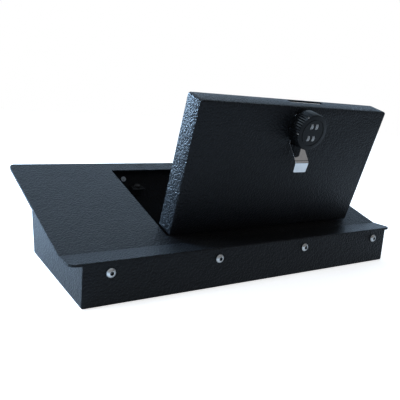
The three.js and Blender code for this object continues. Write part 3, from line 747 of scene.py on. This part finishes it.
class SAFE_OT_lock(bpy.types.Operator):
    """Dress the lock's base, washer and nut, and the spindle, cam and screw behind it"""

    bl_idname = "safe.lock"
    bl_label = "Lock"

    def execute(self, context):
        bevel = context.scene.safe_pieces.small_bevel
        dress("lock_housing", "black_plastic", bevel)
        dress_all(nodes_named("lock_nut", "lock_washer", "spindle", "cam"), "zinc_steel", bevel)
        return {"FINISHED"}


class SAFE_OT_knob(bpy.types.Operator):
    """Dress the ribbed knob and the axles in it"""

    bl_idname = "safe.knob"
    bl_label = "Knob"

    def execute(self, context):
        pieces = context.scene.safe_pieces
        dress("knob", "black_plastic", pieces.knob_bevel)
        dress_all(nodes_named("wheel_axle_"), "zinc_steel", pieces.small_bevel)
        return {"FINISHED"}


class SAFE_OT_number_wheels(bpy.types.Operator):
    """Dress the number wheels and print a ring of digits on each"""

    bl_idname = "safe.number_wheels"
    bl_label = "Number wheels"

    def execute(self, context):
        pieces = context.scene.safe_pieces
        for i, node in enumerate(nodes_named("number_wheel_")):
            wheel = dress(node, "pale_wheel", pieces.small_bevel, sharp_angle=WHEEL_ANGLE)
            printed = wheel_digits(node, pieces.first_digit + i, pieces.digit_height)
            new_object(f"{node}_digits", printed, "digit_ink", wheel["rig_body"])
        return {"FINISHED"}


class SAFE_OT_stage(bpy.types.Operator):
    """Add the floor, the soft lights, the surroundings and the camera"""

    bl_idname = "safe.stage"
    bl_label = "Stage"

    def execute(self, context):
        stage = context.scene.safe_stage
        add_floor(stage)
        add_light("side_light", stage.side_power)
        add_light("glint_light", stage.glint_power)
        add_light("top_light", stage.top_power)
        set_surroundings(context.scene)
        add_camera(context.scene)
        context.scene.view_settings.view_transform = "Standard"
        return {"FINISHED"}


# Stage

def add_floor(stage):
    """A pale floor that the object's shadow falls on."""
    half = stage.floor_size / 2
    mesh = bpy.data.meshes.new("floor")
    corners = [(-half, -half, 0), (half, -half, 0), (half, half, 0), (-half, half, 0)]
    mesh.from_pydata(corners, [], [(0, 1, 2, 3)])
    floor = bpy.data.objects.new("floor", mesh)
    bpy.context.scene.collection.objects.link(floor)
    material, graph, surface = new_material("floor")
    speckle = graph.noise(graph.place(), scale=60.0, detail=3.0, roughness=0.5)
    seen = graph.add("ShaderNodeLightPath").outputs["Is Camera Ray"]
    colour = graph.mix(speckle, (*stage.floor_colour, 1.0), grey(FLOOR_SPECK))
    graph.feed(surface.inputs["Base Color"], graph.mix(seen, FLOOR_RETURN, colour))
    surface.inputs["Roughness"].default_value = FLOOR_ROUGHNESS
    surface.inputs["Specular IOR Level"].default_value = 0.0
    behind = graph.spread(graph.split(graph.place())["Y"], *FLOOR_TURNS)
    reflected = graph.mix(behind, FLOOR_FRONT, FLOOR_BACK)
    graph.feed(surface.inputs["Emission Color"], graph.mix(seen, reflected, grey(1.0)))
    surface.inputs["Emission Strength"].default_value = stage.floor_glow
    mesh.materials.append(material)


def add_light(name, power):
    """A square soft light that looks at a point."""
    place, target, size, colour = LIGHTS[name]
    light = bpy.data.lights.new(name, "AREA")
    light.shape = "SQUARE"
    light.size = size
    light.energy = power
    light.color = colour
    lamp = bpy.data.objects.new(name, light)
    bpy.context.scene.collection.objects.link(lamp)
    lamp.location = place
    lamp.rotation_euler = (Vector(target) - Vector(place)).to_track_quat("-Z", "Y").to_euler()


def bands(graph, where, stops):
    """Brightness that changes with a place from 0 to 1, from stops of (place, brightness)."""
    ramp = graph.add("ShaderNodeValToRGB", {"Fac": where})
    elements = ramp.color_ramp.elements
    for i, (place, level) in enumerate(stops):
        element = elements[i] if i < len(elements) else elements.new(place)
        element.position = place
        element.color = grey(level)
    return ramp.outputs["Color"]


def set_surroundings(scene):
    """White to the camera, and a room of bright and dark bands for light and reflections."""
    world = bpy.data.worlds.new("surroundings")
    scene.world = world
    world.use_nodes = True
    world.node_tree.nodes.clear()
    graph = Graph(world.node_tree)
    direction = graph.add("ShaderNodeTexCoord").outputs["Generated"]
    parts = graph.split(direction)
    front = graph.mix(1.0, bands(graph, parts["Z"], FRONT_BANDS), FRONT_TINT, "MULTIPLY")
    back = graph.mix(1.0, bands(graph, parts["Z"], BACK_BANDS), BACK_TINT, "MULTIPLY")
    across = bands(graph, graph.spread(parts["X"], -1.0, 1.0), ACROSS_BANDS)
    faded = graph.mix(1.0, back, across, "MULTIPLY")
    room = graph.mix(graph.spread(parts["Y"], *ROOM_TURNS), front, faded)
    lighting = graph.add("ShaderNodeBackground", {"Color": room, "Strength": SKY_STRENGTH})
    backdrop = graph.add("ShaderNodeBackground", {"Color": grey(1.0), "Strength": 1.0})
    seen = graph.add("ShaderNodeLightPath").outputs["Is Camera Ray"]
    joined = graph.add("ShaderNodeMixShader", {
        0: seen, 1: lighting.outputs["Background"], 2: backdrop.outputs["Background"]})
    graph.add("ShaderNodeOutputWorld", {"Surface": joined.outputs["Shader"]})


def add_camera(scene):
    """The view of the photo."""
    back = CAMERA_RIGHT.cross(CAMERA_UP)
    turn = Matrix((CAMERA_RIGHT, CAMERA_UP, back)).transposed().to_4x4()
    lens = bpy.data.cameras.new("camera")
    lens.lens = CAMERA_LENS
    camera = bpy.data.objects.new("camera", lens)
    scene.collection.objects.link(camera)
    camera.matrix_world = Matrix.Translation(CAMERA_PLACE) @ turn
    scene.camera = camera


# Panel

class SAFE_PT_finish(bpy.types.Panel):
    """Settings and steps of the safe's finish"""

    bl_label = "Under-Seat Safe"
    bl_idname = "SAFE_PT_finish"
    bl_space_type = "VIEW_3D"
    bl_region_type = "UI"
    bl_category = "Safe"

    def draw(self, context):
        scene = context.scene
        for settings in (scene.safe_finish, scene.safe_pieces, scene.safe_stage):
            box = self.layout.box()
            for name in settings.__annotations__:
                box.prop(settings, name)
        for operator in OPERATORS:
            self.layout.operator(operator.bl_idname)


SETTINGS = {
    "safe_finish": SafeFinishSettings,
    "safe_pieces": SafePieceSettings,
    "safe_stage": SafeStageSettings,
}
OPERATORS = (
    SAFE_OT_tub,
    SAFE_OT_top_plate,
    SAFE_OT_fasteners,
    SAFE_OT_rests,
    SAFE_OT_hinge,
    SAFE_OT_lid,
    SAFE_OT_pull,
    SAFE_OT_lock,
    SAFE_OT_knob,
    SAFE_OT_number_wheels,
    SAFE_OT_stage,
)


def register():
    for name, settings in SETTINGS.items():
        bpy.utils.register_class(settings)
        setattr(bpy.types.Scene, name, PointerProperty(type=settings))
    for operator in OPERATORS:
        bpy.utils.register_class(operator)
    bpy.utils.register_class(SAFE_PT_finish)


def unregister():
    bpy.utils.unregister_class(SAFE_PT_finish)
    for operator in reversed(OPERATORS):
        bpy.utils.unregister_class(operator)
    for name, settings in SETTINGS.items():
        delattr(bpy.types.Scene, name)
        bpy.utils.unregister_class(settings)


def main():
    register()
    bpy.ops.safe.tub()
    bpy.ops.safe.top_plate()
    bpy.ops.safe.fasteners()
    bpy.ops.safe.rests()
    bpy.ops.safe.hinge()
    bpy.ops.safe.lid()
    bpy.ops.safe.pull()
    bpy.ops.safe.lock()
    bpy.ops.safe.knob()
    bpy.ops.safe.number_wheels()
    bpy.ops.safe.stage()


if __name__ == "__main__":
    main()
